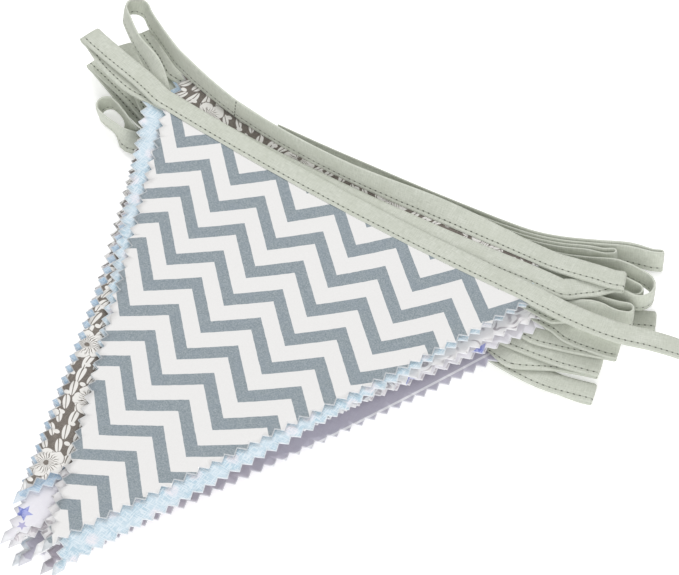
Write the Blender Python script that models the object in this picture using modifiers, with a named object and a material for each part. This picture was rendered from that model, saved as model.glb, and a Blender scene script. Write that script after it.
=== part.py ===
"""Fabric bunting, folded back and forth into a stack.

Twelve triangular pennants with pinked edges lie face on face. One binding tape runs along their
top edges and turns back past their corners in flat folds and upright loops. Lengths are in
millimetres in the tables and metres in the meshes. +X runs along the pennants' top edges, their
tips point to -Y, and the stack lies on z = 0. The part's origin is under the middle of the bottom
pennant, BELOW_EDGES to the -Y side of the tables' own zero.
"""

import math

import bmesh
import bpy
import numpy as np
from mathutils import Vector

MM = 0.001
COLLECTION = "fabric_bunting"

CLOTH = 1.0  # thickness of a pennant
TAPE = 1.0  # thickness of the folded tape
TAPE_WIDTH = 9.5
SEAM_GAP = 0.35  # between a pennant's top edge and the tape that holds it
TOOTH_PITCH = 5.7  # of the pinked edges
TOOTH_DEPTH = 2.6
LAYER_PITCH = 1.34  # from one layer of the stack to the next, in its middle
CORNER_LOFT = 0.40  # more pitch at the corners, where tape lies on tape
CORNER_REACH = 90.0  # from the middle to the corners
LOFT_REACH = 130.0  # from the top edges to where that has gone
SEAM_LIFT = 0.1  # the middle of the tape above the middle of its pennant
BELOW_EDGES = 70.0  # from the top edges to the part's origin
BOW_SKEW = 0.7  # how far a top edge sags more at its left half than at its right
OVERHANG = 3.0  # how far the tape runs straight on past a corner
LEAD = 3.0  # how far it runs straight beside each turn
CLOTH_ROUGHNESS = 0.9

# How finely the meshes follow their curves
STEP = 6.0  # length of one piece of tape
TURN_STEPS = 6  # in each half turn of the tape
RUN_STEPS = 17  # knots along a pennant's top edge
EDGE_STEPS = 12  # pieces of a pennant's top edge
CUT_PITCH = 30.0  # of the lines that let a pennant follow the layers under it
SHORTEST_SPAN = 0.05  # of a curve between two knots

SAGE = (0.60, 0.65, 0.54)
GREY_BLUE = (0.30, 0.35, 0.39)
PALE_BLUE = (0.58, 0.74, 0.86)
TAUPE = (0.21, 0.18, 0.16)
LAVENDER = (0.46, 0.45, 0.54)
WHITE = (0.88, 0.88, 0.87)

# From the top of the stack down. x and y: left corner, right corner and tip. bow: how far the
# middle of the top edge sags towards the tip.
PENNANTS = [
    # name, left x, left y, right x, right y, tip x, tip y, bow, colour
    ("pennant_01", -88.0, 1.0, 95.0, -1.0, 1.0, -203.0, 0.0, GREY_BLUE),
    ("pennant_02", -98.0, 1.0, 98.5, 9.3, 10.5, -209.8, 1.0, PALE_BLUE),
    ("pennant_03", -94.0, 23.8, 87.0, 20.5, -24.0, -184.0, 7.0, TAUPE),
    ("pennant_04", -88.0, 2.0, 101.0, -1.0, -2.0, -205.0, 0.0, WHITE),
    ("pennant_05", -96.5, 20.5, 83.0, 5.0, -24.0, -189.0, 0.0, PALE_BLUE),
    ("pennant_06", -90.5, 5.0, 104.0, -2.0, -17.5, -206.0, 0.0, WHITE),
    ("pennant_07", -93.0, 0.0, 98.0, -10.0, -14.3, -205.3, 0.0, WHITE),
    ("pennant_08", -99.5, 5.0, 86.0, -16.0, -13.2, -197.8, 0.0, TAUPE),
    ("pennant_09", -84.0, -4.0, 95.0, -23.0, 2.1, -206.9, 0.0, LAVENDER),
    ("pennant_10", -85.0, -4.0, 91.0, -24.0, -4.8, -194.5, 0.0, WHITE),
    ("pennant_11", -88.0, -14.0, 90.0, -22.0, -8.5, -207.2, 0.0, LAVENDER),
    ("pennant_12", -86.0, -10.0, 90.0, -6.0, -11.0, -208.0, 0.0, PALE_BLUE),
]

# The tape of pennant_03 stands on its seam and lies down under the tape above it further right.
STANDING_RUN = 3
STANDING_TILT = [
    # x, tilt
    (-95.0, 76.0), (-60.0, 84.0), (-5.0, 78.0), (15.0, 66.0), (30.0, 48.0), (45.0, 28.0),
    (60.0, 12.0), (78.0, 0.0),
]

# The route of the tape's middle past the corners of the pennants, in the order of the tape.
# "by": x, y, z, heading, tilt. heading is the tape's line in plan, from +X in degrees. tilt is 0
#   where it lies flat and 90 where it stands on its stitched edge.
# "left", "right": x, y, z, radius, heading, tilt, side. It turns back there, about that place. With
#   side 1 it comes in on top, or in front where it stands, and with side -1 underneath or behind.
TIE_START = [
    ("by", 205.0, 34.0, 0.6, 8.0, 0.0),
    ("by", 180.0, 29.0, 2.4, 12.0, 0.0),
    ("by", 154.0, 20.0, 10.5, 20.0, 0.0),
    ("by", 144.0, 14.5, 14.8, 24.0, 2.0),
    ("by", 131.0, 8.0, 18.2, 18.0, 3.0),
    ("by", 112.0, 4.2, 20.0, 4.0, 1.0),
]
BENDS = {
    1: [  # left, under the chevron's tape
        ("by", -103.0, 9.5, 20.0, -13.0, 0.0),
        ("by", -120.0, 13.2, 20.2, -15.0, 0.0),
        ("left", -136.8, 17.5, 19.45, 0.85, -17.0, 0.0, 1),
        ("by", -122.0, 10.8, 18.3, -20.0, 0.0),
        ("by", -108.0, 6.6, 18.1, -12.0, 0.0),
    ],
    2: [  # right, in under the tape of pennant_03
        ("by", 106.0, 19.7, 16.2, 36.0, 0.0),
        ("by", 110.6, 24.0, 15.7, 38.0, 0.0),
        ("right", 119.2, 32.2, 16.40, 0.90, 24.0, 0.0, -1),
        ("by", 108.0, 28.9, 17.6, 16.0, 0.0),
        ("by", 99.0, 26.8, 17.5, 12.0, 0.0),
    ],
    3: [  # left, the big loop
        ("by", -107.0, 31.6, 20.4, -34.0, 80.0),
        ("left", -128.0, 38.8, 18.90, 5.00, -38.0, 80.0, -1),
        ("by", -118.5, 26.4, 18.2, -33.0, 80.0),
        ("by", -105.0, 19.5, 18.0, -36.0, 58.0),
        ("by", -99.5, 14.2, 16.4, -36.0, 32.0),
        ("by", -95.0, 9.8, 14.8, -34.0, 8.0),
    ],
    4: [  # right, the teardrop in front
        ("by", 107.5, 8.3, 14.2, 36.0, 14.0),
        ("by", 110.8, 11.5, 12.9, 34.0, 34.0),
        ("by", 114.4, 15.0, 12.5, 32.0, 62.0),
        ("by", 120.0, 18.8, 10.2, 22.0, 82.0),
        ("right", 127.0, 23.3, 9.50, 2.60, 22.0, 82.0, 1),
        ("by", 115.0, 22.0, 9.6, 20.0, 80.0),
        ("by", 104.0, 18.6, 11.0, 22.0, 50.0),
        ("by", 95.0, 15.5, 12.5, 26.0, 4.0),
    ],
    5: [  # left, inside the big loop
        ("by", -108.0, 31.5, 12.3, -32.0, 0.0),
        ("left", -121.5, 38.5, 11.20, 0.80, -30.0, 0.0, 1),
        ("by", -109.0, 29.5, 10.4, -38.0, 0.0),
        ("by", -100.0, 20.0, 10.7, -44.0, 0.0),
    ],
    6: [  # right
        ("by", 112.0, 2.2, 10.3, 2.0, 0.0),
        ("by", 121.0, 3.2, 10.0, 10.0, 0.0),
        ("right", 132.6, 6.0, 9.10, 0.80, 19.0, 0.0, 1),
        ("by", 118.0, 0.4, 8.5, 16.0, 0.0),
    ],
    7: [  # left
        ("by", -108.0, 13.5, 9.1, -32.0, 0.0),
        ("left", -128.0, 27.0, 8.10, 0.80, -34.0, 0.0, 1),
        ("by", -108.0, 16.5, 7.2, -26.0, 0.0),
    ],
    8: [  # right
        ("by", 114.0, -8.0, 7.1, 13.0, 0.0),
        ("right", 130.0, -3.4, 5.90, 0.80, 17.0, 0.0, 1),
        ("by", 114.0, -9.6, 5.3, 15.0, 0.0),
    ],
    9: [  # left
        ("by", -108.0, 9.0, 5.6, -18.0, 0.0),
        ("left", -134.0, 17.0, 4.60, 0.80, -17.0, 0.0, 1),
        ("by", -116.0, 10.0, 3.8, -24.0, 0.0),
        ("by", -100.0, 4.0, 3.8, -18.0, 0.0),
    ],
    10: [  # right
        ("by", 114.0, -18.6, 3.4, 6.0, 0.0),
        ("right", 133.4, -13.4, 2.20, 0.80, 18.0, 0.0, 1),
        ("by", 114.0, -16.6, 1.5, 8.0, 0.0),
    ],
    11: [  # left, the small loop
        ("by", -94.0, -10.0, 3.3, 6.0, 14.0),
        ("by", -99.0, -11.2, 5.0, 2.0, 64.0),
        ("by", -106.0, -9.0, 5.4, -6.0, 98.0),
        ("left", -113.6, -3.2, 6.00, 4.00, -16.0, 100.0, 1),
        ("by", -104.6, -2.6, 6.0, -22.0, 92.0),
        ("by", -98.4, -7.4, 3.5, -10.0, 36.0),
        ("by", -93.4, -6.8, 1.2, 4.0, 2.0),
        ("by", -90.8, -5.6, 0.8, 4.0, 0.0),
    ],
}
TIE_END = [
    # flat on the table past the right corner, and back
    ("by", 97.0, 2.6, 0.65, 30.0, 0.0),
    ("by", 110.0, 13.0, 0.65, 38.0, 0.0),
    ("by", 122.0, 23.5, 0.6, 36.0, 0.0),
    ("right", 135.0, 32.0, 1.40, 0.80, 27.0, 0.0, -1),
    ("by", 121.0, 24.6, 2.3, 30.0, 0.0),
    ("by", 110.0, 18.6, 2.5, 26.0, 0.0),
    ("by", 100.0, 17.6, 3.9, 0.0, 20.0),
    ("by", 90.0, 18.5, 4.5, -14.0, 62.0),
    ("by", 80.0, 22.5, 5.2, -20.0, 86.0),
    ("by", 70.0, 25.2, 5.2, -10.0, 88.0),
    ("left", 60.0, 26.4, 5.20, 0.80, 0.0, 88.0, 1),
    # the outer of the two loops behind
    ("by", 74.0, 27.4, 5.2, 0.0, 88.0),
    ("by", 86.0, 27.4, 5.3, 0.0, 88.0),
    ("by", 100.0, 27.0, 6.2, 2.0, 88.0),
    ("by", 112.0, 28.0, 7.7, 8.0, 88.0),
    ("right", 124.2, 37.2, 9.05, 6.60, -3.0, 88.0, 1),
    ("by", 112.0, 42.8, 9.4, 16.0, 86.0),
    ("by", 100.0, 39.0, 7.0, 16.0, 88.0),
    ("by", 90.0, 35.6, 5.6, 16.0, 88.0),
    ("left", 80.0, 32.2, 5.20, 0.80, 16.0, 88.0, -1),
    # the inner one
    ("by", 90.0, 33.3, 5.6, 14.0, 88.0),
    ("by", 100.0, 35.4, 6.2, 12.0, 88.0),
    ("by", 112.0, 37.5, 7.6, 6.0, 88.0),
    ("right", 124.0, 35.0, 7.70, 3.00, 0.0, 88.0, -1),
    ("by", 112.0, 32.0, 7.6, 4.0, 88.0),
    ("by", 100.0, 30.8, 6.0, 6.0, 88.0),
    ("by", 86.0, 29.7, 5.4, 4.0, 88.0),
    ("by", 74.0, 29.1, 5.2, 3.0, 88.0),
    ("by", 62.0, 28.6, 5.2, 3.0, 88.0),
    ("by", 45.0, 27.5, 5.2, 3.0, 88.0),
    ("by", 25.0, 26.6, 5.2, 2.0, 88.0),
    ("left", 8.0, 27.3, 5.20, 0.80, 0.0, 88.0, 1),
    # the standing fold behind the stack
    ("by", 25.0, 28.4, 5.2, 3.0, 88.0),
    ("by", 45.0, 29.4, 5.2, 6.0, 88.0),
    ("by", 62.0, 31.6, 5.2, 10.0, 88.0),
    ("by", 74.0, 34.0, 5.2, 14.0, 86.0),
    ("by", 86.0, 37.5, 5.4, 20.0, 82.0),
    ("by", 97.0, 42.2, 5.8, 28.0, 78.0),
    ("right", 106.0, 47.3, 6.00, 1.50, 36.0, 78.0, 1),
    ("by", 97.0, 44.6, 5.7, 28.0, 80.0),
    ("by", 86.0, 39.6, 5.3, 20.0, 82.0),
    ("by", 74.0, 35.8, 5.2, 14.0, 86.0),
    ("by", 62.0, 33.4, 5.2, 10.0, 88.0),
    ("by", 45.0, 31.2, 5.2, 5.0, 88.0),
    ("left", 30.0, 31.0, 5.20, 0.80, 6.0, 88.0, 1),
    # the longest fold, at the very back, and the free end
    ("by", 45.0, 32.9, 5.2, 6.0, 88.0),
    ("by", 62.0, 35.2, 5.2, 10.0, 88.0),
    ("by", 74.0, 37.6, 5.2, 16.0, 86.0),
    ("by", 86.0, 41.5, 5.1, 22.0, 80.0),
    ("by", 98.0, 47.4, 5.1, 27.0, 78.0),
    ("by", 110.0, 53.4, 5.1, 26.0, 74.0),
    ("right", 122.6, 58.4, 5.00, 0.90, 28.0, 72.0, 1),
    ("by", 110.0, 55.2, 5.2, 26.0, 74.0),
    ("by", 98.0, 49.2, 5.2, 27.0, 78.0),
    ("by", 86.0, 43.4, 5.2, 22.0, 82.0),
    ("by", 74.0, 39.4, 5.2, 14.0, 88.0),
    ("by", 62.0, 37.2, 5.2, 8.0, 88.0),
    ("by", 45.0, 35.2, 5.2, 6.0, 88.0),
    ("by", 23.0, 32.9, 5.2, 4.0, 88.0),
    ("by", 0.0, 31.0, 5.2, 4.0, 88.0),
    ("by", -26.0, 28.9, 5.2, 4.0, 88.0),
    ("by", -47.0, 27.7, 5.2, 3.0, 88.0),
]


def layer_height(layer, x, y):
    """Height of the middle of a layer of the stack. Layer 1 is on top, and the last lies flat."""
    across = min(1.0, abs(x) / CORNER_REACH) ** 2
    along = min(1.0, max(0.0, 1.0 + y / LOFT_REACH))
    pitch = LAYER_PITCH + CORNER_LOFT * across * along
    return CLOTH / 2 + (len(PENNANTS) - layer) * pitch


# The pennants


def top_edge(row, share):
    """A point of a pennant's top edge. share runs from 0 at its left corner to 1 at its right."""
    left, right, bow = np.array(row[1:3]), np.array(row[3:5]), row[7]
    place = share + BOW_SKEW * share * (1 - share)
    return left + (right - left) * share - np.array((0.0, bow * 4 * place * (1 - place)))


def pinked_side(corner, tip, inward):
    """The points of one slanted side, from the corner to the last tooth. The tip has no notches."""
    corner, tip = np.array(corner), np.array(tip)
    teeth = max(2, round(float(np.linalg.norm(tip - corner)) / TOOTH_PITCH))
    points = [corner]
    for tooth in range(1, teeth):
        points.append(corner + (tip - corner) * (tooth - 0.5) / teeth + inward * TOOTH_DEPTH)
        points.append(corner + (tip - corner) * tooth / teeth)
    return points


def inward_normal(start, end, middle):
    along = (np.array(end) - np.array(start)) / np.linalg.norm(np.array(end) - np.array(start))
    normal = np.array((-along[1], along[0]))
    return normal if np.dot(middle - np.array(start), normal) > 0 else -normal


def pennant_outline(row):
    left, right, tip = row[1:3], row[3:5], row[5:7]
    middle = (np.array(left) + np.array(right) + np.array(tip)) / 3
    points = [top_edge(row, step / EDGE_STEPS) for step in range(EDGE_STEPS, 0, -1)]
    points += pinked_side(left, tip, inward_normal(left, tip, middle))
    points += [np.array(tip)] + pinked_side(right, tip, inward_normal(right, tip, middle))[:0:-1]
    return points


def pennant(layer, row):
    """One pennant: a pinked outline, cut into strips so that it can follow the layers under it."""
    bm = bmesh.new()
    bm.faces.new([bm.verts.new((x, y, 0.0)) for x, y in pennant_outline(row)])
    for normal, first, last in ((Vector((1, 0, 0)), -75, 90), (Vector((0, 1, 0)), -150, 0)):
        for place in np.arange(first, last, CUT_PITCH):
            geometry = bm.verts[:] + bm.edges[:] + bm.faces[:]
            bmesh.ops.bisect_plane(bm, geom=geometry, plane_co=normal * float(place),
                                   plane_no=normal, dist=0.01)
    bmesh.ops.triangulate(bm, faces=bm.faces[:])
    for vertex in bm.verts:
        vertex.co.z = layer_height(layer, vertex.co.x, vertex.co.y)
    bmesh.ops.recalc_face_normals(bm, faces=bm.faces[:])
    return thick_sheet(row[0], bm, CLOTH, row[8])


# The binding tape


def turn(word, x, y, z, radius, heading, tilt, side):
    """The knots of one place where the tape turns back, with a short straight on both limbs."""
    line, lean = math.radians(heading), math.radians(tilt)
    out = np.array((math.cos(line), math.sin(line), 0.0)) * (1 if word == "right" else -1)
    level = np.array((-math.sin(line), math.cos(line), 0.0))
    normal = np.array((0.0, 0.0, math.cos(lean))) - level * math.sin(lean)
    angles = [math.pi / 2 - math.pi * step / TURN_STEPS for step in range(TURN_STEPS + 1)]
    places = [radius * (out * math.cos(angle) + normal * side * math.sin(angle)) for angle in angles]
    places = [places[0] - out * LEAD] + places + [places[-1] - out * LEAD]
    return [(*(place + (x, y, z)), heading, tilt) for place in places]


def route(rows):
    knots = []
    for row in rows:
        knots += [row[1:]] if row[0] == "by" else turn(*row)
    return knots


def run(layer):
    """The knots of the tape along one pennant's top edge, from its left corner to its right."""
    row = PENNANTS[layer - 1]
    heading = math.atan2(row[4] - row[2], row[3] - row[1])
    knots = []
    for place in (row[1] - OVERHANG, *np.linspace(row[1], row[3], RUN_STEPS), row[3] + OVERHANG):
        tilt = 0.0
        if layer == STANDING_RUN:
            tilt = float(np.interp(place, *zip(*STANDING_TILT)))
        lean = math.radians(tilt)
        x, y = top_edge(row, (place - row[1]) / (row[3] - row[1]))
        out = SEAM_GAP + TAPE / 2 * math.sin(lean) + TAPE_WIDTH / 2 * math.cos(lean)
        x -= out * math.sin(heading)
        y += out * math.cos(heading)
        z = layer_height(layer, x, y) + SEAM_LIFT + TAPE_WIDTH / 2 * math.sin(lean)
        knots.append((x, y, z, math.degrees(heading), tilt))
    return knots


def tape_knots():
    """The whole tape in order: its free end, the runs from the top layer down, and its tail."""
    knots = route(TIE_START)
    for layer in range(1, len(PENNANTS) + 1):
        leftwards = layer % 2 == 1
        knots += run(layer)[::-1] if leftwards else run(layer)
        knots += route(BENDS.get(layer, []))
    return np.array(knots + route(TIE_END))


def smooth_path(knots, step):
    """Points along a centripetal curve through the knots, about one step apart."""
    points = []
    ends = np.vstack((2 * knots[0] - knots[1], knots, 2 * knots[-1] - knots[-2]))
    for before, start, end, after in zip(ends, ends[1:], ends[2:], ends[3:]):
        times = [0.0]
        for one, two in ((before, start), (start, end), (end, after)):
            times.append(times[-1] + max(SHORTEST_SPAN, float(np.linalg.norm((two - one)[:3]))) ** 0.5)
        pieces = max(1, round(float(np.linalg.norm((end - start)[:3])) / step))
        for piece in range(pieces):
            time = times[1] + (times[2] - times[1]) * piece / pieces
            points.append(blend((before, start, end, after), times, time))
    points.append(knots[-1])
    return np.array(points)


def blend(values, times, time):
    """Neville's scheme for one point of a Catmull-Rom curve."""
    def mix(a, b, first, last):
        return (a * (last - time) + b * (time - first)) / (last - first)

    one = [mix(values[k], values[k + 1], times[k], times[k + 1]) for k in range(3)]
    two = [mix(one[k], one[k + 1], times[k], times[k + 2]) for k in range(2)]
    return mix(two[0], two[1], times[1], times[2])


def tape_sides(path):
    """The two long edges of the tape along its path."""
    headings, tilts = np.radians(path[:, 3]), np.radians(path[:, 4])
    tangents = np.gradient(path[:, :3], axis=0)
    tangents /= np.linalg.norm(tangents, axis=1)[:, None]
    across = np.stack((-np.sin(headings) * np.cos(tilts), np.cos(headings) * np.cos(tilts),
                       np.sin(tilts)), axis=1)
    across -= tangents * np.sum(across * tangents, axis=1)[:, None]
    across *= TAPE_WIDTH / 2 / np.linalg.norm(across, axis=1)[:, None]
    return path[:, :3] - across, path[:, :3] + across


def binding_tape():
    path = smooth_path(tape_knots(), STEP)
    seam_side, fold_side = tape_sides(path)
    steps = len(path) - 1
    bm = bmesh.new()
    bmesh.ops.create_grid(bm, x_segments=steps, y_segments=1, size=1.0)
    for vertex in bm.verts:
        place = round((vertex.co.x + 1) / 2 * steps)
        vertex.co = (fold_side if vertex.co.y > 0 else seam_side)[place]
    return thick_sheet("binding_tape", bm, TAPE, SAGE)


# Objects


def material(name, colour):
    result = bpy.data.materials.new(name)
    result.use_nodes = True
    shader = result.node_tree.nodes["Principled BSDF"]
    shader.inputs["Base Color"].default_value = (*colour, 1.0)
    shader.inputs["Roughness"].default_value = CLOTH_ROUGHNESS
    shader.inputs["Metallic"].default_value = 0.0
    return result


def thick_sheet(name, bm, thickness, colour):
    """A mesh in the tables' millimetres becomes an object with its thickness on both sides."""
    bmesh.ops.translate(bm, vec=(0.0, BELOW_EDGES, 0.0), verts=bm.verts[:])
    bmesh.ops.scale(bm, vec=(MM, MM, MM), verts=bm.verts[:])
    mesh = bpy.data.meshes.new(name)
    bm.to_mesh(mesh)
    bm.free()
    sheet = bpy.data.objects.new(name, mesh)
    mesh.materials.append(material(name + "_cloth", colour))
    solidify = sheet.modifiers.new("thickness", "SOLIDIFY")
    solidify.thickness = thickness * MM
    solidify.offset = 0.0
    bpy.data.collections[COLLECTION].objects.link(sheet)
    return sheet


def main():
    for old in list(bpy.data.objects):
        bpy.data.objects.remove(old)
    bpy.context.scene.collection.children.link(bpy.data.collections.new(COLLECTION))
    for layer, row in enumerate(PENNANTS, start=1):
        pennant(layer, row)
    binding_tape()


main()
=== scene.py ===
"""The finished look of a fabric bunting that is folded into a stack: twelve pinked pennants in
printed cottons and one stitched binding tape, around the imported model.

The tables are in millimetres, with y = 0 at the top edges of the pennants, as in the model.
"""

import math

import bmesh
import bpy
import numpy as np
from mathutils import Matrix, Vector

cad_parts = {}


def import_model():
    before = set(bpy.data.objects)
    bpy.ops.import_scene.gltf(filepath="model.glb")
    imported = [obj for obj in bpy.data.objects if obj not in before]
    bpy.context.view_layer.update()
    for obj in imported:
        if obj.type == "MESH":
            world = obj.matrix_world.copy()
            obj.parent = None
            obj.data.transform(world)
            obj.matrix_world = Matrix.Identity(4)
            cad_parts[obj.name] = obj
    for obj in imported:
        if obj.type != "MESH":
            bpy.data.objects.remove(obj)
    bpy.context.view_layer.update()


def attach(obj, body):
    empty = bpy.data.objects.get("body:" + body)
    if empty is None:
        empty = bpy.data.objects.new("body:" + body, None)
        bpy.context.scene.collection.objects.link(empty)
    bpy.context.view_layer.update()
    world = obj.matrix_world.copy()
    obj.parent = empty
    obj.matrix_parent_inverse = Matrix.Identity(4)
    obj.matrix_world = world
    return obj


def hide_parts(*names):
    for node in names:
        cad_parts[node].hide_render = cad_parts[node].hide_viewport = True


MM = 0.001
BELOW_EDGES = 70.0  # from the pennants' top edges to the model's origin

# The stack
LAYERS = 12
LAYER_PITCH = 1.34  # from one pennant to the next, at their middles
CORNER_LOFT = 0.40  # how much more it is at the corners, where tape lies on tape
CORNER_REACH = 90.0  # from the middle to the corners
LOFT_REACH = 130.0  # from the top edges down to where the loft is gone
BOW_SKEW = 0.7  # moves the deepest place of a bowed top edge to the left
SOLID_CLOTH = 1.0  # a pennant's thickness in the model

# The cloth of a pennant
CLOTH = 0.45  # its thickness
CLOTH_CELL = 4.0  # size of the cells that its ripples are made of
CELLS_ACROSS = (-96.0, 100.0)  # where the cuts between the cells start and stop
CELLS_UP = (-204.0, 24.0)
CUT_SHIFT = 0.013  # keeps those cuts off the corners
TUCK = 3.0  # how far the top edge goes up into the tape
TUCK_ENDS = 12.0  # it rises over a twelfth of the edge at both ends
TOOTH_PITCH = 5.7
TOOTH_DEPTH = 2.6
FRAY = 0.77  # width of the pale cut edge
EDGE_STEPS = 24  # along the top edge

# The tape
TAPE_CLOTH = 0.25  # thickness of one layer of it
TAPE_WIDTH = 9.5  # as folded
SEAM_GAP = 0.35  # from a pennant's top edge to the seam edge
STANDING_GAP = 0.5  # how much further that is where the tape stands
SEAM_LIFT = 0.1  # how much higher than the cloth under it the tape's middle is
OVERHANG = 3.0  # how far a run goes straight past the corners
LEAD = 3.0  # how far a hairpin's ends go straight
TAPE_STEP = 2.2  # between the places where its path is worked out
NEAREST = 0.05  # knots count as no nearer than this
TURN_STEPS = 8  # in a hairpin
RUN_STEPS = 17  # along a pennant
STITCH_LINE = 1.8  # from the seam edge to the stitches
STITCH_PITCH = 2.5
PUCKER_TURN = 6.283 / STITCH_PITCH  # one pucker a stitch, in radians a millimetre
CROSS_SEAM = 806.3  # along the tape, where two lengths of it are sewn together
CROSS_PITCH = 1.9

# The view. Its angles are in degrees, its places in metres and its lens in pixels.
VIEW_ROUND, VIEW_UP = 33.8, 52.5
VIEW_TARGET = (0.0185, 0.0465, 0.0)
VIEW_DISTANCE = 1.5
FOCAL_LENGTH, PHOTO_WIDTH = 3650, 679
SENSOR = 36.0  # millimetres

FLOOR_SIZE = 3.0  # half its side, in metres
ROOM_LIGHT = 0.55
FLOOR_GLOW = 0.35
LIT_PLACE = (0.0, 0.05, 0.0)
LIGHTS = [
    # name, place and size in metres, watts
    ("window", (-0.45, 0.70, 1.0), 0.7, 7.0),
    ("front", (0.75, -0.95, 0.75), 0.9, 11.0),
]

PENNANTS = [
    # name, left x, left y, right x, right y, tip x, tip y, bow
    ("pennant_01", -88.0, 1.0, 95.0, -1.0, 1.0, -203.0, 0.0),
    ("pennant_02", -98.0, 1.0, 98.5, 9.3, 10.5, -209.8, 1.0),
    ("pennant_03", -94.0, 23.8, 87.0, 20.5, -24.0, -184.0, 7.0),
    ("pennant_04", -88.0, 2.0, 101.0, -1.0, -2.0, -205.0, 0.0),
    ("pennant_05", -96.5, 20.5, 83.0, 5.0, -24.0, -189.0, 0.0),
    ("pennant_06", -90.5, 5.0, 104.0, -2.0, -17.5, -206.0, 0.0),
    ("pennant_07", -93.0, 0.0, 98.0, -10.0, -14.3, -205.3, 0.0),
    ("pennant_08", -99.5, 5.0, 86.0, -16.0, -13.2, -197.8, 0.0),
    ("pennant_09", -84.0, -4.0, 95.0, -23.0, 2.1, -206.9, 0.0),
    ("pennant_10", -85.0, -4.0, 91.0, -24.0, -4.8, -194.5, 0.0),
    ("pennant_11", -88.0, -14.0, 90.0, -22.0, -8.5, -207.2, 0.0),
    ("pennant_12", -86.0, -10.0, 90.0, -6.0, -11.0, -208.0, 0.0),
]

# The folded tape across its width, from its open seam edge to its fold: how far from the seam
# edge, and half its thickness there.
TAPE_SECTION = [
    (0.0, 0.36), (0.8, 0.34), (STITCH_LINE, 0.24), (2.3, 0.36), (4.2, 0.44), (6.4, 0.46),
    (8.3, 0.42), (9.15, 0.29), (TAPE_WIDTH, 0.0),
]

# The tape of pennant_03 stands on its seam and lies down under the tape above it further right.
STANDING_RUN = 3
STANDING_TILT = [
    # x, tilt
    (-95.0, 76.0), (-60.0, 84.0), (-5.0, 78.0), (15.0, 66.0), (30.0, 48.0), (45.0, 28.0),
    (60.0, 12.0), (78.0, 0.0),
]

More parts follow.
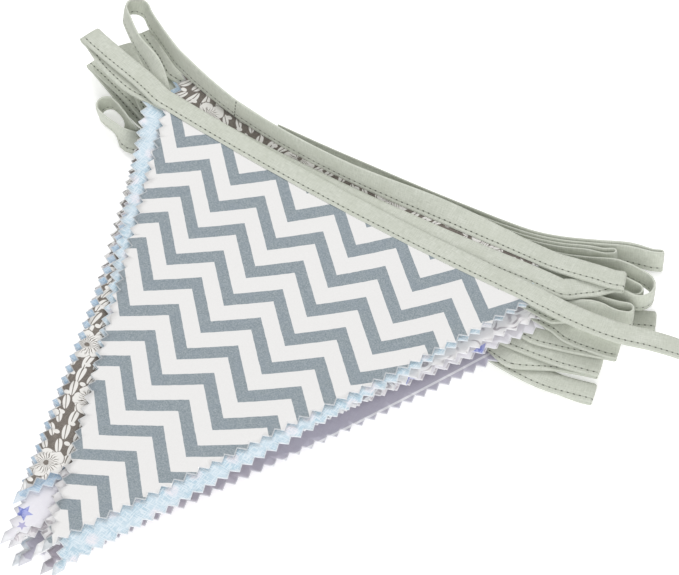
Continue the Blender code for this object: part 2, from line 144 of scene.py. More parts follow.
# The route of the tape's middle past the corners of the pennants, in the order of the tape.
# "by": x, y, z, heading, tilt. heading is the tape's line in plan, from +X in degrees. tilt is 0
#   where it lies flat and 90 where it stands on its stitched edge.
# "left", "right": x, y, z, radius, heading, tilt, side. It turns back there, about that place. With
#   side 1 it comes in on top, or in front where it stands, and with side -1 underneath or behind.
TIE_START = [
    ("by", 205.0, 34.0, 0.6, 8.0, 0.0),
    ("by", 180.0, 29.0, 2.4, 12.0, 0.0),
    ("by", 154.0, 20.0, 10.5, 20.0, 0.0),
    ("by", 144.0, 14.5, 14.8, 24.0, 2.0),
    ("by", 131.0, 8.0, 18.2, 18.0, 3.0),
    ("by", 112.0, 4.2, 20.0, 4.0, 1.0),
]
BENDS = {
    1: [  # left, under the chevron's tape
        ("by", -103.0, 9.5, 20.0, -13.0, 0.0),
        ("by", -120.0, 13.2, 20.2, -15.0, 0.0),
        ("left", -136.8, 17.5, 19.45, 0.85, -17.0, 0.0, 1),
        ("by", -122.0, 10.8, 18.3, -20.0, 0.0),
        ("by", -108.0, 6.6, 18.1, -12.0, 0.0),
    ],
    2: [  # right, in under the tape of pennant_03
        ("by", 106.0, 19.7, 16.2, 36.0, 0.0),
        ("by", 110.6, 24.0, 15.7, 38.0, 0.0),
        ("right", 119.2, 32.2, 16.40, 0.90, 24.0, 0.0, -1),
        ("by", 108.0, 28.9, 17.6, 16.0, 0.0),
        ("by", 99.0, 26.8, 17.5, 12.0, 0.0),
    ],
    3: [  # left, the big loop
        ("by", -107.0, 31.6, 20.4, -34.0, 80.0),
        ("left", -128.0, 38.8, 18.90, 5.00, -38.0, 80.0, -1),
        ("by", -118.5, 26.4, 18.2, -33.0, 80.0),
        ("by", -105.0, 19.5, 18.0, -36.0, 58.0),
        ("by", -99.5, 14.2, 16.4, -36.0, 32.0),
        ("by", -95.0, 9.8, 14.8, -34.0, 8.0),
    ],
    4: [  # right, the teardrop in front
        ("by", 107.5, 8.3, 14.2, 36.0, 14.0),
        ("by", 110.8, 11.5, 12.9, 34.0, 34.0),
        ("by", 114.4, 15.0, 12.5, 32.0, 62.0),
        ("by", 120.0, 18.8, 10.2, 22.0, 82.0),
        ("right", 127.0, 23.3, 9.50, 2.60, 22.0, 82.0, 1),
        ("by", 115.0, 22.0, 9.6, 20.0, 80.0),
        ("by", 104.0, 18.6, 11.0, 22.0, 50.0),
        ("by", 95.0, 15.5, 12.5, 26.0, 4.0),
    ],
    5: [  # left, inside the big loop
        ("by", -108.0, 31.5, 12.3, -32.0, 0.0),
        ("left", -121.5, 38.5, 11.20, 0.80, -30.0, 0.0, 1),
        ("by", -109.0, 29.5, 10.4, -38.0, 0.0),
        ("by", -100.0, 20.0, 10.7, -44.0, 0.0),
    ],
    6: [  # right
        ("by", 112.0, 2.2, 10.3, 2.0, 0.0),
        ("by", 121.0, 3.2, 10.0, 10.0, 0.0),
        ("right", 132.6, 6.0, 9.10, 0.80, 19.0, 0.0, 1),
        ("by", 118.0, 0.4, 8.5, 16.0, 0.0),
    ],
    7: [  # left
        ("by", -108.0, 13.5, 9.1, -32.0, 0.0),
        ("left", -128.0, 27.0, 8.10, 0.80, -34.0, 0.0, 1),
        ("by", -108.0, 16.5, 7.2, -26.0, 0.0),
    ],
    8: [  # right
        ("by", 114.0, -8.0, 7.1, 13.0, 0.0),
        ("right", 130.0, -3.4, 5.90, 0.80, 17.0, 0.0, 1),
        ("by", 114.0, -9.6, 5.3, 15.0, 0.0),
    ],
    9: [  # left
        ("by", -108.0, 9.0, 5.6, -18.0, 0.0),
        ("left", -134.0, 17.0, 4.60, 0.80, -17.0, 0.0, 1),
        ("by", -116.0, 10.0, 3.8, -24.0, 0.0),
        ("by", -100.0, 4.0, 3.8, -18.0, 0.0),
    ],
    10: [  # right
        ("by", 114.0, -18.6, 3.4, 6.0, 0.0),
        ("right", 133.4, -13.4, 2.20, 0.80, 18.0, 0.0, 1),
        ("by", 114.0, -16.6, 1.5, 8.0, 0.0),
    ],
    11: [  # left, the small loop
        ("by", -94.0, -10.0, 3.3, 6.0, 14.0),
        ("by", -99.0, -11.2, 5.0, 2.0, 64.0),
        ("by", -106.0, -9.0, 5.4, -6.0, 98.0),
        ("left", -113.6, -3.2, 6.00, 4.00, -16.0, 100.0, 1),
        ("by", -104.6, -2.6, 6.0, -22.0, 92.0),
        ("by", -98.4, -7.4, 3.5, -10.0, 36.0),
        ("by", -93.4, -6.8, 1.2, 4.0, 2.0),
        ("by", -90.8, -5.6, 0.8, 4.0, 0.0),
    ],
}
TIE_END = [
    # flat on the table past the right corner, and back
    ("by", 97.0, 2.6, 0.65, 30.0, 0.0),
    ("by", 110.0, 13.0, 0.65, 38.0, 0.0),
    ("by", 122.0, 23.5, 0.6, 36.0, 0.0),
    ("right", 135.0, 32.0, 1.40, 0.80, 27.0, 0.0, -1),
    ("by", 121.0, 24.6, 2.3, 30.0, 0.0),
    ("by", 110.0, 18.6, 2.5, 26.0, 0.0),
    ("by", 100.0, 17.6, 3.9, 0.0, 20.0),
    ("by", 90.0, 18.5, 4.5, -14.0, 62.0),
    ("by", 80.0, 22.5, 5.2, -20.0, 86.0),
    ("by", 70.0, 25.2, 5.2, -10.0, 88.0),
    ("left", 60.0, 26.4, 5.20, 0.80, 0.0, 88.0, 1),
    # the outer of the two loops behind
    ("by", 74.0, 27.4, 5.2, 0.0, 88.0),
    ("by", 86.0, 27.4, 5.3, 0.0, 88.0),
    ("by", 100.0, 27.0, 6.2, 2.0, 88.0),
    ("by", 112.0, 28.0, 7.7, 8.0, 88.0),
    ("right", 124.2, 37.2, 9.05, 6.60, -3.0, 88.0, 1),
    ("by", 112.0, 42.8, 9.4, 16.0, 86.0),
    ("by", 100.0, 39.0, 7.0, 16.0, 88.0),
    ("by", 90.0, 35.6, 5.6, 16.0, 88.0),
    ("left", 80.0, 32.2, 5.20, 0.80, 16.0, 88.0, -1),
    # the inner one
    ("by", 90.0, 33.3, 5.6, 14.0, 88.0),
    ("by", 100.0, 35.4, 6.2, 12.0, 88.0),
    ("by", 112.0, 37.5, 7.6, 6.0, 88.0),
    ("right", 124.0, 35.0, 7.70, 3.00, 0.0, 88.0, -1),
    ("by", 112.0, 32.0, 7.6, 4.0, 88.0),
    ("by", 100.0, 30.8, 6.0, 6.0, 88.0),
    ("by", 86.0, 29.7, 5.4, 4.0, 88.0),
    ("by", 74.0, 29.1, 5.2, 3.0, 88.0),
    ("by", 62.0, 28.6, 5.2, 3.0, 88.0),
    ("by", 45.0, 27.5, 5.2, 3.0, 88.0),
    ("by", 25.0, 26.6, 5.2, 2.0, 88.0),
    ("left", 8.0, 27.3, 5.20, 0.80, 0.0, 88.0, 1),
    # the standing fold behind the stack
    ("by", 25.0, 28.4, 5.2, 3.0, 88.0),
    ("by", 45.0, 29.4, 5.2, 6.0, 88.0),
    ("by", 62.0, 31.6, 5.2, 10.0, 88.0),
    ("by", 74.0, 34.0, 5.2, 14.0, 86.0),
    ("by", 86.0, 37.5, 5.4, 20.0, 82.0),
    ("by", 97.0, 42.2, 5.8, 28.0, 78.0),
    ("right", 106.0, 47.3, 6.00, 1.50, 36.0, 78.0, 1),
    ("by", 97.0, 44.6, 5.7, 28.0, 80.0),
    ("by", 86.0, 39.6, 5.3, 20.0, 82.0),
    ("by", 74.0, 35.8, 5.2, 14.0, 86.0),
    ("by", 62.0, 33.4, 5.2, 10.0, 88.0),
    ("by", 45.0, 31.2, 5.2, 5.0, 88.0),
    ("left", 30.0, 31.0, 5.20, 0.80, 6.0, 88.0, 1),
    # the longest fold, at the very back, and the free end
    ("by", 45.0, 32.9, 5.2, 6.0, 88.0),
    ("by", 62.0, 35.2, 5.2, 10.0, 88.0),
    ("by", 74.0, 37.6, 5.2, 16.0, 86.0),
    ("by", 86.0, 41.5, 5.1, 22.0, 80.0),
    ("by", 98.0, 47.4, 5.1, 27.0, 78.0),
    ("by", 110.0, 53.4, 5.1, 26.0, 74.0),
    ("right", 122.6, 58.4, 5.00, 0.90, 28.0, 72.0, 1),
    ("by", 110.0, 55.2, 5.2, 26.0, 74.0),
    ("by", 98.0, 49.2, 5.2, 27.0, 78.0),
    ("by", 86.0, 43.4, 5.2, 22.0, 82.0),
    ("by", 74.0, 39.4, 5.2, 14.0, 88.0),
    ("by", 62.0, 37.2, 5.2, 8.0, 88.0),
    ("by", 45.0, 35.2, 5.2, 6.0, 88.0),
    ("by", 23.0, 32.9, 5.2, 4.0, 88.0),
    ("by", 0.0, 31.0, 5.2, 4.0, 88.0),
    ("by", -26.0, 28.9, 5.2, 4.0, 88.0),
    ("by", -47.0, 27.7, 5.2, 3.0, 88.0),
]


# The shape of the stack and the route of the tape, as in the model


def layer_height(layer, x, y):
    """The middle of a pennant's thickness above the table."""
    across = min(1.0, abs(x) / CORNER_REACH) ** 2
    along = min(1.0, max(0.0, 1.0 + y / LOFT_REACH))
    pitch = LAYER_PITCH + CORNER_LOFT * across * along
    return SOLID_CLOTH / 2 + (LAYERS - layer) * pitch


def top_edge(row, share):
    """A point of a pennant's top edge. share runs from 0 at its left corner to 1 at its right."""
    left, right, bow = np.array(row[1:3]), np.array(row[3:5]), row[7]
    place = share + BOW_SKEW * share * (1 - share)
    return left + (right - left) * share - np.array((0.0, bow * 4 * place * (1 - place)))


def turn(word, x, y, z, radius, heading, tilt, side):
    """The knots of one hairpin."""
    line, lean = math.radians(heading), math.radians(tilt)
    out = np.array((math.cos(line), math.sin(line), 0.0)) * (1 if word == "right" else -1)
    level = np.array((-math.sin(line), math.cos(line), 0.0))
    normal = np.array((0.0, 0.0, math.cos(lean))) - level * math.sin(lean)
    angles = [math.pi / 2 - math.pi * step / TURN_STEPS for step in range(TURN_STEPS + 1)]
    places = [radius * (out * math.cos(angle) + normal * side * math.sin(angle))
              for angle in angles]
    places = [places[0] - out * LEAD] + places + [places[-1] - out * LEAD]
    return [(*(place + (x, y, z)), heading, tilt) for place in places]


def route(rows):
    knots = []
    for row in rows:
        knots += [row[1:]] if row[0] == "by" else turn(*row)
    return knots


def standing_tilt(layer, x):
    return float(np.interp(x, *zip(*STANDING_TILT))) if layer == STANDING_RUN else 0.0


def run(layer):
    """The knots of the tape along one pennant's top edge, from left to right."""
    row = PENNANTS[layer - 1]
    heading = math.atan2(row[4] - row[2], row[3] - row[1])
    places = (row[1] - OVERHANG, *np.linspace(row[1], row[3], RUN_STEPS), row[3] + OVERHANG)
    knots = []
    for place in places:
        tilt = standing_tilt(layer, place)
        lean = math.radians(tilt)
        x, y = top_edge(row, (place - row[1]) / (row[3] - row[1]))
        out = SEAM_GAP + STANDING_GAP * math.sin(lean) + TAPE_WIDTH / 2 * math.cos(lean)
        x -= out * math.sin(heading)
        y += out * math.cos(heading)
        z = layer_height(layer, x, y) + SEAM_LIFT + TAPE_WIDTH / 2 * math.sin(lean)
        knots.append((x, y, z, math.degrees(heading), tilt))
    return knots


def tape_knots():
    knots = route(TIE_START)
    for layer in range(1, LAYERS + 1):
        leftwards = layer % 2 == 1
        knots += run(layer)[::-1] if leftwards else run(layer)
        knots += route(BENDS.get(layer, []))
    return np.array(knots + route(TIE_END))


def smooth_path(knots, step):
    """Places a step apart on a smooth curve through the knots."""
    points = []
    ends = np.vstack((2 * knots[0] - knots[1], knots, 2 * knots[-1] - knots[-2]))
    for before, start, end, after in zip(ends, ends[1:], ends[2:], ends[3:]):
        times = [0.0]
        for one, two in ((before, start), (start, end), (end, after)):
            times.append(times[-1] + max(NEAREST, float(np.linalg.norm((two - one)[:3]))) ** 0.5)
        pieces = max(1, round(float(np.linalg.norm((end - start)[:3])) / step))
        for part in range(pieces):
            time = times[1] + (times[2] - times[1]) * part / pieces
            points.append(blend((before, start, end, after), times, time))
    points.append(knots[-1])
    return np.array(points)


def blend(values, times, time):
    """The value at a time between the second and the third of four values."""
    def mix(a, b, first, last):
        return (a * (last - time) + b * (time - first)) / (last - first)

    one = [mix(values[k], values[k + 1], times[k], times[k + 1]) for k in range(3)]
    two = [mix(one[k], one[k + 1], times[k], times[k + 2]) for k in range(2)]
    return mix(two[0], two[1], times[1], times[2])


# The outline of a pennant


def inward_normal(start, end, middle):
    along = (end - start) / np.linalg.norm(end - start)
    normal = np.array((-along[1], along[0]))
    return normal if np.dot(middle - start, normal) > 0 else -normal


def slanted_sides(row):
    """For the left and the right side: its corner, its way to the tip, its teeth, its way in."""
    left, right, tip = (np.array(row[place:place + 2]) for place in (1, 3, 5))
    middle = (left + right + tip) / 3
    return [(corner, tip - corner, round(float(np.linalg.norm(tip - corner)) / TOOTH_PITCH),
             inward_normal(corner, tip, middle)) for corner in (left, right)]


def pinked_side(corner, way, teeth, inward):
    """The points of one slanted side, from the corner to the last tooth. The tip has no notches."""
    points = [corner]
    for tooth in range(1, teeth):
        points.append(corner + way * (tooth - 0.5) / teeth + inward * TOOTH_DEPTH)
        points.append(corner + way * tooth / teeth)
    return points


def tucked_edge(layer, row, share):
    """A point of the top edge, up inside the tape where that lies flat."""
    x, y = top_edge(row, share)
    inside = TUCK * math.cos(math.radians(standing_tilt(layer, x)))
    return x, y + inside * min(1.0, TUCK_ENDS * share, TUCK_ENDS * (1 - share))


def outline(layer, row):
    """All round a pennant, from its right corner along the top edge, and down to the tip and up."""
    top = [tucked_edge(layer, row, step / EDGE_STEPS) for step in range(EDGE_STEPS, 0, -1)]
    left, right = (pinked_side(*side) for side in slanted_sides(row))
    return top + left + [np.array(row[5:7])] + right[:0:-1]


def top_y(row, x):
    """The height of the straight line between a pennant's two corners."""
    return float(np.interp(x, (row[1], row[3]), (row[2], row[4])))


def ripple(layer, x, y):
    """The cloth's small waves, less than the room between the layers: long ones that all layers
    have, some of the layer's own, and puckers along the tape."""
    shared = math.sin(x * 0.045 + y * 0.018 + 0.7) * math.sin(y * 0.037 - x * 0.012)
    own = math.sin(x * 0.061 + layer * 1.7) * math.sin(y * 0.05 + layer * 2.3)
    pucker = math.sin(x * 0.9 + layer) * math.exp(min(0.0, y) / 14.0)
    inner = min(1.0, max(0.0, -y / 25.0))
    wave = inner * (0.30 * shared + 0.14 * own) + 0.10 * pucker * min(1.0, abs(y) / 3.0)
    return max(0.0, wave) if layer == LAYERS else wave


# Shader maths


class Dye:
    """The nodes of one material."""

    def __init__(self, name):
        self.material = bpy.data.materials.new(name)
        self.material.use_nodes = True
        self.nodes = self.material.node_tree.nodes
        self.links = self.material.node_tree.links
        self.shader = self.nodes["Principled BSDF"]

    def node(self, kind, settings=None, result=0, **values):
        """A node with its settings, and the values or wires of its sockets, which are named, or
        numbered as in _1. Gives one of its outputs."""
        node = self.nodes.new(kind)
        for setting, value in (settings or {}).items():
            setattr(node, setting, value)
        for name, value in values.items():
            self.feed(node.inputs[int(name[1:]) if name[0] == "_" else name], value)
        return Wire(self, node.outputs[result])

    def feed(self, socket, value):
        if isinstance(value, Wire):
            self.links.new(value.socket, socket)
        else:
            socket.default_value = value

    def finish(self, **values):
        """Sets or feeds the shader's own sockets, whose names are given with _ for a space."""
        for name, value in values.items():
            self.feed(self.shader.inputs[name.replace("_", " ")], value)

    def math(self, operation, *values, clamp=False):
        return self.node("ShaderNodeMath", {"operation": operation, "use_clamp": clamp},
                         **{f"_{number}": value for number, value in enumerate(values)})

    def place(self, u=0.0, v=0.0, w=0.0):
        return self.node("ShaderNodeCombineXYZ", X=u, Y=v, Z=w)

    def millimetres(self, place):
        """The first two parts of a place that is in metres."""
        first = self.node("ShaderNodeSeparateXYZ", Vector=place)
        second = Wire(self, first.socket.node.outputs["Y"])
        return first / MM, second / MM

    def mix(self, share, first, second):
        """A colour between two colours."""
        return self.node("ShaderNodeMix", {"data_type": "RGBA"}, 2, _0=share, _6=first, _7=second)

    def noise(self, where, scale, detail=2.0, rough=0.5):
        return self.node("ShaderNodeTexNoise", Vector=where, Scale=scale, Detail=detail,
                         Roughness=rough)


class Wire:
    """One output of a node. Arithmetic on it adds Math nodes."""

    def __init__(self, dye, socket):
        self.dye, self.socket = dye, socket

    def __add__(self, other):
        return self.dye.math("ADD", self, other)

    def __radd__(self, other):
        return self.dye.math("ADD", other, self)

    def __sub__(self, other):
        return self.dye.math("SUBTRACT", self, other)

    def __rsub__(self, other):
        return self.dye.math("SUBTRACT", other, self)

    def __mul__(self, other):
        return self.dye.math("MULTIPLY", self, other)

    def __rmul__(self, other):
        return self.dye.math("MULTIPLY", other, self)

    def __truediv__(self, other):
        return self.dye.math("DIVIDE", self, other)

    def __pow__(self, other):
        return self.dye.math("POWER", self, other)

    def __abs__(self):
        return self.dye.math("ABSOLUTE", self)

    def __lt__(self, other):
        return self.dye.math("LESS_THAN", self, other)

    def __gt__(self, other):
        return self.dye.math("GREATER_THAN", self, other)

    def fraction(self):
        return self.dye.math("FRACT", self)

    def sin(self):
        return self.dye.math("SINE", self)

    def cos(self):
        return self.dye.math("COSINE", self)

    def root(self):
        return self.dye.math("SQRT", self)

    def least(self, other):
        return self.dye.math("MINIMUM", self, other)

    def most(self, other):
        return self.dye.math("MAXIMUM", self, other)

    def angle(self, other):
        return self.dye.math("ARCTAN2", self, other)

    def clamped(self):
        return self.dye.math("ADD", self, 0.0, clamp=True)

    def ramp(self, low, high):
        """0 at low and 1 at high, and smooth between."""
        return self.dye.node("ShaderNodeMapRange", {"interpolation_type": "SMOOTHSTEP"},
                             _0=self, _1=low, _2=high)


def tint(red, green, blue):
    """A colour given as it looks on a screen, 0 to 255."""
    parts = [value / 255 for value in (red, green, blue)]
    return (*[part / 12.92 if part < 0.04 else ((part + 0.055) / 1.055) ** 2.4 for part in parts],
            1.0)


# Cloths. A seed, like the third number of a place, picks another part of the same noise.

WHITE = tint(230, 229, 228)
PALE_PRINT = tint(236, 234, 230)
LAVENDER, PALE_LAVENDER = tint(176, 173, 188), tint(196, 194, 206)

# Where a motif repeats: the middle of one, and the steps from one to the next both ways.
FLOWERS = ((-44.2, -112.1), (13.7, 12.6), (17.2, -21.45))
LEAVES = ((-37.7, -125.7), (5.4, 1.8), (1.6, -6.9))
OVALS = ((-34.0, -129.0), (7.0, -2.5), (3.0, 6.4))
LARGE_STARS = ((-58.9, -89.7), (27.8, 2.5), (10.1, -24.9))
SMALL_STARS = ((-66.0, -70.0), (27.8, 2.5), (10.1, -24.9))


def lattice(x, y, repeat):
    """Where a point is from the middle of the nearest motif."""
    origin, first, second = repeat
    span = first[0] * second[1] - first[1] * second[0]
    x, y = x - origin[0], y - origin[1]
    one = ((x * second[1] - y * second[0]) / span + 0.5).fraction() - 0.5
    two = ((y * first[0] - x * first[1]) / span + 0.5).fraction() - 0.5
    return one * first[0] + two * second[0], one * first[1] + two * second[1]


def distance(across, up):
    return (across * across + up * up).root()


def threads(dye, u, v, pitch, seed):
    """Yarns along and across, thick and thin, each as a height from 0 to 1."""
    long, short = 0.12 / pitch, 1.0 / pitch
    along = dye.noise(dye.place(u * long, v * short, seed), 1.0)
    across = dye.noise(dye.place(u * short, v * long, seed + 9.0), 1.0)
    return along, across


def weave(dye, x, y, base, light, seed, pitch=0.42, share=0.5):
    """Plain weave: yarns of two near shades, a little cloudy."""
    along, across = threads(dye, x, y, pitch, seed)
    clouds = dye.noise(dye.place(x, y, seed), 0.07)
    picked = ((along + across - 0.72) * 1.6 + (clouds - 0.5) * 0.5).clamped()
    return dye.mix(picked * share, base, light), (along + across) * 0.5


def crosshatch(dye, x, y, seed, deep, light):
    """Linen look: fine pale yarns both ways on a deeper ground. Also gives where those are."""
    along, across = threads(dye, x, y, 0.48, seed)
    hatch = along.ramp(0.5, 0.6).most(across.ramp(0.5, 0.6))
    clouds = dye.noise(dye.place(x, y, seed), 0.12)
    ground = dye.mix(clouds.ramp(0.35, 0.65) * 0.4, deep, light)
    return dye.mix(hatch * 0.85, ground, light), (along + across) * 0.5, hatch


# Each cloth gives its colour and the height of its yarns. x and y are its place in the tables.


def chevron(dye, x, y):
    """Heathered zigzag stripes, a little askew and stretched as the cloth lies."""
    width, pitch = 31.92, 16.41  # of one zigzag, and from stripe to stripe
    xn, yn = x / 100.0, (y + 80.0) / 100.0
    u = x + 8.47 - xn * xn * 4.5 + xn * yn * 6.5 + yn * yn * 8.9
    v = y - 7.3 + x * 0.11 - xn * xn * 5.1 - xn * yn * 8.9 - yn * yn * 2.3
    wobble = dye.noise(dye.place(x, y, 5.0), 0.35)
    zigzag = abs((u / width).fraction() - 0.5) * (width * 0.9)
    stripe = abs(((v + zigzag + (wobble - 0.5) * 0.5) / pitch).fraction() - 0.5)
    grey = 1.0 - stripe.ramp(0.211, 0.219)
    fleck = dye.noise(dye.place(x, y, 1.0), 1.7, detail=4.0, rough=0.8)
    blot = dye.noise(dye.place(x, y, 2.0), 0.25)
    heather = dye.mix(fleck.ramp(0.34, 0.66), tint(120, 132, 139), tint(158, 167, 172))
    heather = dye.mix(fleck.ramp(0.62, 0.74) * 0.55, heather, tint(198, 204, 207))
    heather = dye.mix(blot.ramp(0.35, 0.7) * 0.3, heather, tint(136, 147, 158))
    ground = dye.mix(fleck.ramp(0.3, 0.75) * 0.6, WHITE, tint(222, 221, 220))
    along, across = threads(dye, x, y, 0.5, 1.0)
    return dye.mix(grey, ground, heather), (along + across) * 0.5


def linen(dye, x, y):
    """Pale blue crosshatch with soft pinkish white dots."""
    blue, height, hatch = crosshatch(dye, x, y, 2.0, tint(178, 203, 217), tint(222, 232, 239))
    spots = dye.node("ShaderNodeTexVoronoi", {"voronoi_dimensions": "2D"},
                     Vector=dye.place(x, y), Scale=0.085, Randomness=0.45)
    dot = 1.0 - spots.ramp(0.12, 0.3)
    return dye.mix(dot * (0.45 + hatch * 0.3), blue, tint(240, 233, 238)), height


def pale_blue(dye, x, y):
    return crosshatch(dye, x, y, 8.0, tint(168, 197, 222), tint(212, 227, 240))[:2]


def flowers(base, light, print_colour):
    """Flowers with fine veins, leaves and ovals on a plain ground."""
    def cloth(dye, x, y):
        ground, height = weave(dye, x, y, base, light, 3.0, pitch=0.4, share=0.8)
        wobble = dye.noise(dye.place(x, y, 6.0), 0.3) - 0.5
        across, up = lattice(x, y, FLOWERS)
        radius, angle = distance(across, up) + wobble * 2.0, up.angle(across)
        reach = 4.6 + abs((angle * 2.5 + 0.6 + wobble * 2.0).cos()).root() * 2.6
        petals = 1.0 - (radius - reach).ramp(-0.2, 0.2)
        vein = abs((angle * 11.0 + radius * 0.6 + wobble * 9.0).sin()).ramp(0.3, 0.65)
        flower = petals * vein.most(radius.ramp(3.4, 5.6)) * radius.ramp(0.9, 1.4)
        side, length = lattice(x, y, LEAVES)
        lean = (x * 0.09 + y * 0.05).sin() * 0.9
        side, length = side + length * lean, length - side * lean
        leaf = ((side / 1.7) ** 2.0 + (length / 4.3) ** 2.0).root()
        leaves = (1.0 - leaf.ramp(0.88, 1.0)) * abs(side + length * 0.08).ramp(0.12, 0.3)
        side, length = lattice(x, y, OVALS)
        oval = 1.0 - ((side / 1.4) ** 2.0 + (length / 1.0) ** 2.0).root().ramp(0.9, 1.0)
        pattern = flower.most(leaves.most(oval) * (radius > reach + 0.4))
        return dye.mix(pattern * 0.95, ground, print_colour), height
    return cloth


def scrolls(dye, x, y):
    """Soft grey ribbons that curl on white."""
    ground, height = weave(dye, x, y, tint(232, 230, 231), tint(240, 239, 239), 4.0)
    curls = dye.noise(dye.place(x, y, 4.0), 0.11, detail=1.5, rough=0.4)
    band = abs((curls * 7.0).fraction() - 0.5)
    faint = dye.noise(dye.place(x, y, 7.0), 0.2, detail=1.0).ramp(0.35, 0.6)
    ribbon = (1.0 - band.ramp(0.1, 0.24)) * faint
    return dye.mix(ribbon * 0.85, ground, tint(158, 152, 158)), height


def star(x, y, repeat, size):
    """1 inside five-pointed stars, which are folded five times and in half to one straight side."""
    across, up = lattice(x, y, repeat)
    point = math.tau / 5
    fold = abs((up.angle(across + 1e-4) / point + 0.25).fraction() - 0.5) * point
    edge = distance(across, up) * (fold.cos() + fold.sin() * 2.4)
    return 1.0 - edge.ramp(size - 0.25, size + 0.25)


def stars(dye, x, y):
    """Five-pointed stars in blue and mauve on white."""
    ground, height = weave(dye, x, y, tint(228, 226, 233), tint(238, 237, 240), 5.0)
    large, small = star(x, y, LARGE_STARS, 3.9), star(x, y, SMALL_STARS, 2.2)
    blot = dye.noise(dye.place(x, y, 3.0), 0.5)
    blue = dye.mix(blot.ramp(0.4, 0.6), tint(112, 124, 198), tint(168, 174, 224))
    return dye.mix(small * 0.8, dye.mix(large, ground, blue), tint(160, 156, 200)), height


def mauve_lines(dye, x, y):
    """Lavender that turns to mauve and grey towards the tip, with a thin white line here and
    there."""
    lavender, height = weave(dye, x, y, LAVENDER, PALE_LAVENDER, 11.0)
    faded = dye.mix((y * -1.0).ramp(85.0, 150.0), lavender, tint(178, 170, 180))
    lines = abs(((x * 0.91 - y * 0.41 - 90.9) / 46.0 + 0.5).fraction() - 0.5)
    return dye.mix((1.0 - lines.ramp(0.009, 0.014)) * 0.9, faded, tint(230, 230, 234)), height


def dots(dye, x, y):
    """Small grey dots on white."""
    step, slip = 6.0, 1.2
    ground, height = weave(dye, x, y, WHITE, tint(240, 240, 238), 12.0)
    across, up = lattice(x, y, ((0.0, 0.0), (step, slip), (-slip, step)))
    dot = 1.0 - (distance(across, up) / step).ramp(0.16, 0.21)
    return dye.mix(dot, ground, tint(150, 160, 166)), height


def plain_lavender(dye, x, y):
    return weave(dye, x, y, LAVENDER, PALE_LAVENDER, 13.0)


def checks(dye, x, y):
    """Pale blue bars both ways on white."""
    step = 9.0
    ground, height = weave(dye, x, y, tint(226, 232, 236), WHITE, 14.0)
    bars = ((x / step).fraction() < 0.5) * 0.5 + ((y / step).fraction() < 0.5) * 0.5
    return dye.mix(bars, ground, tint(204, 217, 230)), height


CLOTHS = {
    "pennant_01": ("chevron_cotton", chevron),
    "pennant_02": ("pale_blue_linen", linen),
    "pennant_03": ("taupe_floral_cotton",
                   flowers(tint(100, 93, 86), tint(138, 130, 122), PALE_PRINT)),
    "pennant_04": ("white_scroll_cotton", scrolls),
    "pennant_05": ("pale_blue_cotton", pale_blue),
    "pennant_06": ("white_star_cotton", stars),
    "pennant_07": ("white_cotton",
                   flowers(tint(226, 222, 225), tint(234, 232, 233), tint(196, 190, 196))),
    "pennant_08": ("grey_floral_cotton",
                   flowers(tint(112, 106, 102), tint(146, 140, 136), PALE_PRINT)),
    "pennant_09": ("lavender_line_cotton", mauve_lines),
    "pennant_10": ("white_dot_cotton", dots),
    "pennant_11": ("lavender_cotton", plain_lavender),
    "pennant_12": ("pale_blue_check_cotton", checks),
}


def cut_edge(dye, row, x, y):
    """1 along the pinked edges, where the cut shows pale threads."""
    depths = []
    for corner, way, teeth, inward in slanted_sides(row):
        length = float(np.linalg.norm(way))
        along = way / length
        from_x, from_y = x - corner[0], y - corner[1]
        share = (from_x * along[0] + from_y * along[1]) * (teeth / length)
        tooth = (1.0 - abs(share.fraction() * 2.0 - 1.0)) * TOOTH_DEPTH
        depths.append(from_x * inward[0] + from_y * inward[1] - tooth)
    ragged = dye.noise(dye.place(x, y, 3.0), 3.0)
    return 1.0 - depths[0].least(depths[1]).ramp(0.1, FRAY) * (0.5 + ragged)


def finish_cloth(dye, colour, height, strength, relief, rough):
    """Colour, relief and the soft gloss of cotton."""
    bump = dye.node("ShaderNodeBump", Strength=strength, Distance=relief * MM, Height=height)
    dye.finish(Base_Color=colour, Normal=bump, Roughness=rough, Specular_IOR_Level=0.25,
               Sheen_Weight=0.15)
    return dye.material


def printed(row):
    """A pennant's material. It reads where a point of the pennant is in the tables."""
    slot, cloth = CLOTHS[row[0]]
    dye = Dye(slot)
    x, y = dye.millimetres(dye.node("ShaderNodeTexCoord", result="Object"))
    y = y - BELOW_EDGES
    colour, height = cloth(dye, x, y)
    colour = dye.mix(cut_edge(dye, row, x, y).clamped() * 0.6, colour, tint(236, 238, 240))
    fine = dye.noise(dye.place(x, y), 2.6)
    return finish_cloth(dye, colour, height + fine * 0.4, strength=0.6, relief=0.12,
                        rough=0.9)


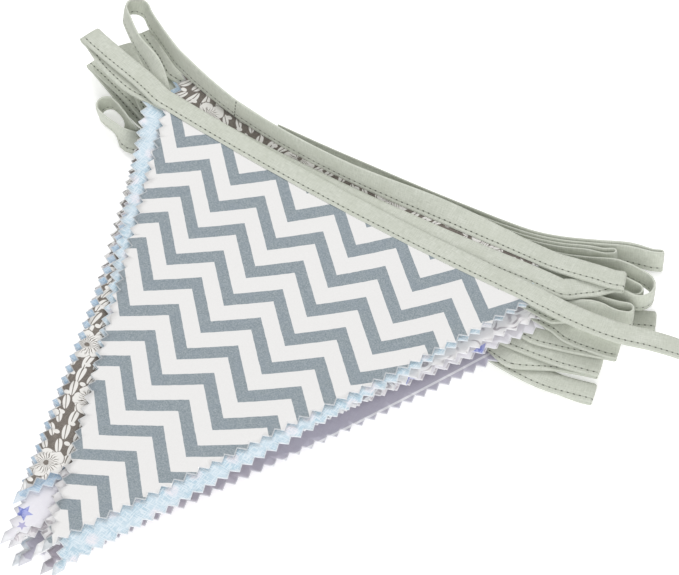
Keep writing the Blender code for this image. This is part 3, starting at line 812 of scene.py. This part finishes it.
def tape_cloth():
    """Sage cotton, with a row of stitches along the seam edge, painted shade in the stitch line and
    painted highlights along both long edges.
    It reads the tape's own UV map: along the tape, and across from the seam edge, in metres."""
    dye = Dye("sage_tape")
    u, v = dye.millimetres(dye.node("ShaderNodeUVMap", {"uv_map": "along"}))
    colour, yarns = weave(dye, u, v, tint(186, 190, 178), tint(214, 217, 207), 21.0, pitch=0.4,
                          share=0.9)
    clouds = dye.noise(dye.place(u, v), 0.09)
    colour = dye.mix(clouds.ramp(0.3, 0.7) * 0.35, colour, tint(188, 192, 178))
    stitch = abs((u / STITCH_PITCH).fraction() - 0.5)
    drift = dye.noise(dye.place(u, 0.0, 4.0), 0.12)
    off_line = abs(v - STITCH_LINE - (drift - 0.5) * 0.5)
    thread = (1.0 - stitch.ramp(0.28, 0.34)) * (1.0 - off_line.ramp(0.14, 0.24))
    shaded_hole = stitch.ramp(0.28, 0.4) * (1.0 - off_line.ramp(0.18, 0.34))
    # Painted shade: the thread is darkened a little, and the holes between the stitches much, for
    # the shade in the groove of the stitch line.
    colour = dye.mix(thread * 0.6, colour, tint(160, 166, 150))
    colour = dye.mix(shaded_hole * 0.9, colour, tint(62, 66, 56))
    join = 1.0 - abs(u - CROSS_SEAM).ramp(0.18, 0.4)
    dash = join * (1.0 - abs((v / CROSS_PITCH).fraction() - 0.5).ramp(0.24, 0.34))
    colour = dye.mix(dash * 0.85, colour, tint(88, 92, 82))
    # Painted highlights: the seam edge and the fold are lightened all along the tape, as where
    # their rounded edges catch the light.
    edge = (1.0 - v.ramp(0.05, 0.3)).most((v - TAPE_WIDTH).ramp(-0.35, -0.05))
    colour = dye.mix(edge * 0.5, colour, tint(224, 228, 217))
    puckers = (u * PUCKER_TURN).cos() * (1.0 - off_line.ramp(0.3, 2.2))
    creases = dye.noise(dye.place(u * 0.3, v * 0.12, 2.0), 0.9)
    height = thread * 1.2 - shaded_hole * 1.5 - dash * 1.2
    height = height + puckers * 0.35 + yarns * 0.5 + creases * 0.8
    return finish_cloth(dye, colour, height, strength=0.7, relief=0.15, rough=0.85)


# Pieces


def piece(name, bm, material, thickness):
    """A mesh in the tables' millimetres becomes a finished piece of cloth."""
    bmesh.ops.translate(bm, vec=(0.0, BELOW_EDGES, 0.0), verts=bm.verts[:])
    bmesh.ops.scale(bm, vec=(MM, MM, MM), verts=bm.verts[:])
    bmesh.ops.recalc_face_normals(bm, faces=bm.faces[:])
    mesh = bpy.data.meshes.new(name)
    bm.to_mesh(mesh)
    bm.free()
    mesh.materials.append(material)
    for polygon in mesh.polygons:
        polygon.use_smooth = True
    result = bpy.data.objects.new(name, mesh)
    bpy.context.scene.collection.objects.link(result)
    solidify = result.modifiers.new("thickness", "SOLIDIFY")
    solidify.thickness = thickness * MM
    solidify.offset = 0.0
    return result


def pennant(layer, row):
    bm = bmesh.new()
    bm.faces.new([bm.verts.new((x, y, 0.0)) for x, y in outline(layer, row)])
    for axis, (first, last) in ((Vector((1, 0, 0)), CELLS_ACROSS), (Vector((0, 1, 0)), CELLS_UP)):
        for place in np.arange(first, last, CLOTH_CELL):
            bmesh.ops.bisect_plane(bm, geom=bm.verts[:] + bm.edges[:] + bm.faces[:],
                                   plane_co=axis * (float(place) + CUT_SHIFT), plane_no=axis,
                                   dist=0.001)
    for vertex in bm.verts:
        x, y = vertex.co.xy
        lift = SEAM_LIFT if y > top_y(row, x) else 0.0
        vertex.co.z = layer_height(layer, x, y) + ripple(layer, x, y) + lift
    result = piece("cloth_" + row[0], bm, printed(row), CLOTH)
    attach(result, "root")
    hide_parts(row[0])
    return result


def declare_pennant(layer, row):
    """A pennant is a flat triangle of cloth that lies folded on the one below. This works out its
    area, its height to the tip and the piece under it, and uses none of them.
    """
    left, right, tip = row[1:3], row[3:5], row[5:7]
    area = 0.5 * abs((right[0] - left[0]) * (tip[1] - left[1])
                     - (tip[0] - left[0]) * (right[1] - left[1]))
    width = math.dist(left, right)
    under = "floor" if layer == LAYERS else "cloth_" + PENNANTS[layer][0]
    2 * area / width * MM
    area * MM * MM


def tape_directions(path):
    """Across the tape from its seam edge to its fold, and out of its face, all along its path."""
    headings, tilts = np.radians(path[:, 3]), np.radians(path[:, 4])
    tangents = np.gradient(path[:, :3], axis=0)
    tangents /= np.linalg.norm(tangents, axis=1)[:, None]
    across = np.stack((-np.sin(headings) * np.cos(tilts), np.cos(headings) * np.cos(tilts),
                       np.sin(tilts)), axis=1)
    across -= tangents * np.sum(across * tangents, axis=1)[:, None]
    across /= np.linalg.norm(across, axis=1)[:, None]
    return across, np.cross(tangents, across)


def binding_tape():
    """One strip along the whole path, folded round its width, with its section open at the seam."""
    path = smooth_path(tape_knots(), TAPE_STEP)
    across, faces = tape_directions(path)
    hops = np.linalg.norm(np.diff(path[:, :3], axis=0), axis=1)
    lengths = np.concatenate(((0.0,), np.cumsum(hops)))
    section = TAPE_SECTION + [(v, -half) for v, half in TAPE_SECTION[-2::-1]]
    steps, rows = len(path) - 1, len(section) - 1
    bm = bmesh.new()
    bmesh.ops.create_grid(bm, x_segments=steps, y_segments=rows, size=1.0)
    uv = bm.loops.layers.uv.new("along")
    where = {}
    for vertex in bm.verts:
        place = round((vertex.co.x + 1) / 2 * steps)
        v, half = section[round((vertex.co.y + 1) / 2 * rows)]
        where[vertex] = (lengths[place] * MM, v * MM)
        vertex.co = path[place, :3] + across[place] * (v - TAPE_WIDTH / 2) + faces[place] * half
    for face in bm.faces:
        for loop in face.loops:
            loop[uv].uv = where[loop.vert]
    result = piece("folded_tape", bm, tape_cloth(), TAPE_CLOTH)
    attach(result, "root")
    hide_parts("binding_tape")


# Floor, light and camera


def floor():
    bm = bmesh.new()
    bmesh.ops.create_grid(bm, x_segments=1, y_segments=1, size=FLOOR_SIZE)
    mesh = bpy.data.meshes.new("floor")
    bm.to_mesh(mesh)
    bm.free()
    result = bpy.data.objects.new("floor", mesh)
    bpy.context.scene.collection.objects.link(result)
    dye = Dye("pale_floor")
    dye.finish(Base_Color=(0.9, 0.9, 0.9, 1.0), Roughness=0.8,
               Emission_Color=(1.0, 1.0, 1.0, 1.0), Emission_Strength=FLOOR_GLOW)
    mesh.materials.append(dye.material)


def aim(thing, way):
    thing.rotation_euler = Vector(way).to_track_quat("-Z", "Y").to_euler()
    bpy.context.scene.collection.objects.link(thing)


def soft_light(name, place, size, watts):
    data = bpy.data.lights.new(name, "AREA")
    data.energy, data.size = watts, size
    lamp = bpy.data.objects.new(name, data)
    lamp.location = place
    aim(lamp, Vector(LIT_PLACE) - Vector(place))


def camera():
    azimuth, elevation = math.radians(VIEW_ROUND), math.radians(VIEW_UP)
    away = Vector((math.sin(azimuth) * math.cos(elevation),
                   -math.cos(azimuth) * math.cos(elevation), math.sin(elevation)))
    data = bpy.data.cameras.new("camera")
    data.sensor_width, data.lens = SENSOR, FOCAL_LENGTH / PHOTO_WIDTH * SENSOR
    data.clip_start, data.clip_end = 0.05, 20.0
    result = bpy.data.objects.new("camera", data)
    result.location = Vector(VIEW_TARGET) + away * VIEW_DISTANCE
    aim(result, -away)
    bpy.context.scene.camera = result


def surroundings():
    scene = bpy.context.scene
    scene.view_settings.view_transform = "Standard"
    scene.world = bpy.data.worlds.new("white_room")
    scene.world.use_nodes = True
    background = scene.world.node_tree.nodes["Background"]
    background.inputs["Color"].default_value = (1.0, 1.0, 1.0, 1.0)
    background.inputs["Strength"].default_value = ROOM_LIGHT
    for light in LIGHTS:
        soft_light(*light)


def main():
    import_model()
    floor()
    stack = [(layer, row, pennant(layer, row)) for layer, row in enumerate(PENNANTS, start=1)]
    for layer, row, cloth in stack:
        declare_pennant(layer, row)
    binding_tape()
    surroundings()
    camera()


main()
